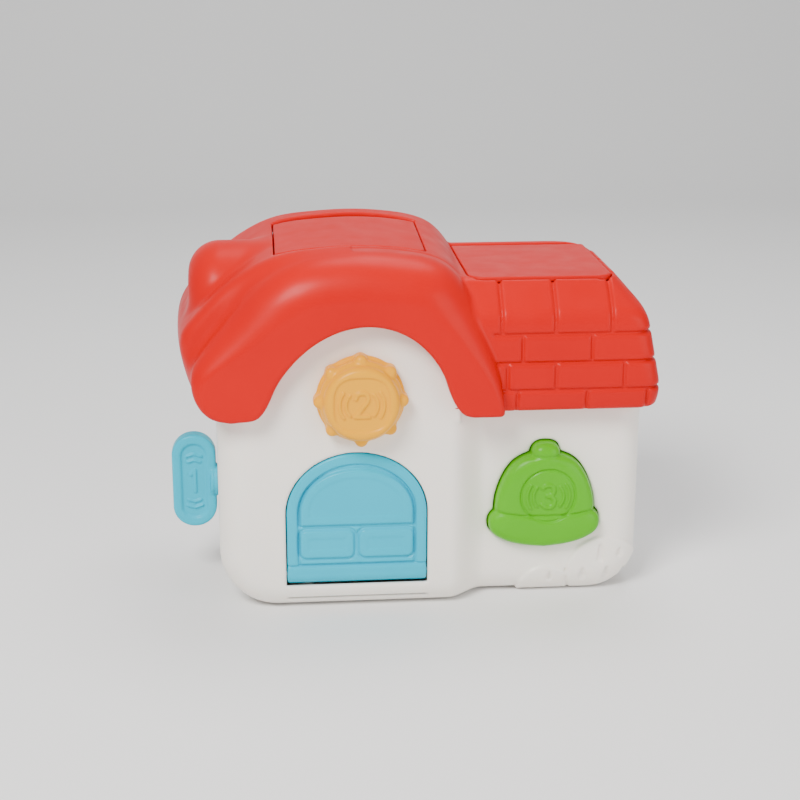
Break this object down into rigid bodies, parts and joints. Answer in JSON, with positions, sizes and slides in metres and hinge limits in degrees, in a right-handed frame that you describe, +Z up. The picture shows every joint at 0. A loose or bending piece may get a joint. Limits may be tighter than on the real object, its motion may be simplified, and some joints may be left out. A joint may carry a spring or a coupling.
{
  "type": "pop up animal toy",
  "caption": "Toy house with a turn key, a turning knob and a push button that release a door and roof lids, each carrying a small animal on its inner side.",
  "frame": {"origin": "centre of the flat underside, where the house stands", "axes": "+X to the house's right as seen from its front, +Y to its back, +Z up"},
  "size_m": [0.1993, 0.0994, 0.1529],
  "materials": {
    "white": "satin",
    "white_under": "matte",
    "red": "satin",
    "cyan": "satin",
    "yellow": "satin",
    "green": "satin",
    "room": "matte",
    "gear": "matte",
    "steel": "brushed",
    "spring": "brushed",
    "rabbit": "satin",
    "bear": "satin",
    "cat": "satin"
  },
  "bodies": {
    "house": {"house_body": "white", "base_plate": "white_under", "base_screws": "steel", "roof_shell": "red", "roof_screws": "steel", "dome_well": "room", "flat_well": "room", "door_room": "room", "well_screws": "steel", "dome_hinge_pin": "steel", "flat_hinge_pin": "steel", "door_hinge_pin": "steel", "dome_latch_screws": "steel", "dome_latch_spring": "spring", "door_latch_screws": "steel", "door_latch_spring": "spring", "bell_springs": "spring", "bell_bracket": "gear", "bell_bracket_screws": "steel", "rocker_pin": "steel"},
    "dome_lid": {"dome_lid": "red", "dome_figure": "rabbit", "dome_spring": "spring"},
    "flat_lid": {"flat_lid": "red", "flat_figure": "bear", "flat_spring": "spring"},
    "front_door": {"front_door": "cyan", "door_figure": "cat", "door_spring": "spring"},
    "sun_knob": {"sun_knob": "yellow", "sun_crank": "gear", "sun_crank_screw": "steel"},
    "turn_key": {"turn_key": "cyan", "key_crank": "gear", "key_crank_screw": "steel"},
    "bell_button": {"bell_button": "green"},
    "dome_latch": {"dome_latch": "gear"},
    "door_latch": {"door_latch": "gear"},
    "bell_rocker": {"bell_rocker": "gear", "rocker_spring": "spring"}
  },
  "joints": [
    {"name": "dome_lid_hinge", "type": "hinge", "parent": "house", "child": "dome_lid", "pos_m": [-0.03, 0.024, 0.1446], "axis": [-1, 0, 0], "range_deg": [0, 90]},
    {"name": "flat_lid_hinge", "type": "hinge", "parent": "house", "child": "flat_lid", "pos_m": [0.046, 0.032, 0.1325], "axis": [-1, 0, 0], "range_deg": [0, 90]},
    {"name": "front_door_hinge", "type": "hinge", "parent": "house", "child": "front_door", "pos_m": [-0.02905, -0.0368, 0.0157], "axis": [1, 0, 0], "range_deg": [0, 90]},
    {"name": "sun_knob_turn", "type": "hinge", "parent": "house", "child": "sun_knob", "pos_m": [-0.0275, -0.041, 0.0915], "axis": [0, 1, 0], "range_deg": [0, 46], "stiffness_Nm_per_rad": 0.024, "springref_deg": -17.19},
    {"name": "turn_key_turn", "type": "hinge", "parent": "house", "child": "turn_key", "pos_m": [-0.085, 0, 0.0443], "axis": [-1, 0, 0], "range_deg": [0, 46], "stiffness_Nm_per_rad": 0.024, "springref_deg": -17.19},
    {"name": "bell_press", "type": "slide", "parent": "house", "child": "bell_button", "axis": [0, 1, 0], "range_m": [0, 0.004], "stiffness_N_per_m": 300, "springref_m": -0.002, "deforming": ["bell_springs"]},
    {"name": "dome_latch_slide", "type": "slide", "parent": "house", "child": "dome_latch", "axis": [1, 0, 0], "range_m": [0, 0.00689], "deforming": ["dome_latch_spring"]},
    {"name": "door_latch_slide", "type": "slide", "parent": "house", "child": "door_latch", "axis": [0, 0, 1], "range_m": [0, 0.00689], "deforming": ["door_latch_spring"]},
    {"name": "bell_rocker_turn", "type": "hinge", "parent": "house", "child": "bell_rocker", "pos_m": [0.0495, -0.024, 0.1], "axis": [1, 0, 0], "range_deg": [0, 5.6]}
  ],
  "couplings": [
    {"joint": "sun_knob_turn", "follows": "dome_latch_slide", "rad_per_m": 114.03},
    {"joint": "turn_key_turn", "follows": "door_latch_slide", "rad_per_m": 114.03},
    {"joint": "bell_rocker_turn", "follows": "bell_press", "rad_per_m": 23.81}
  ]
}
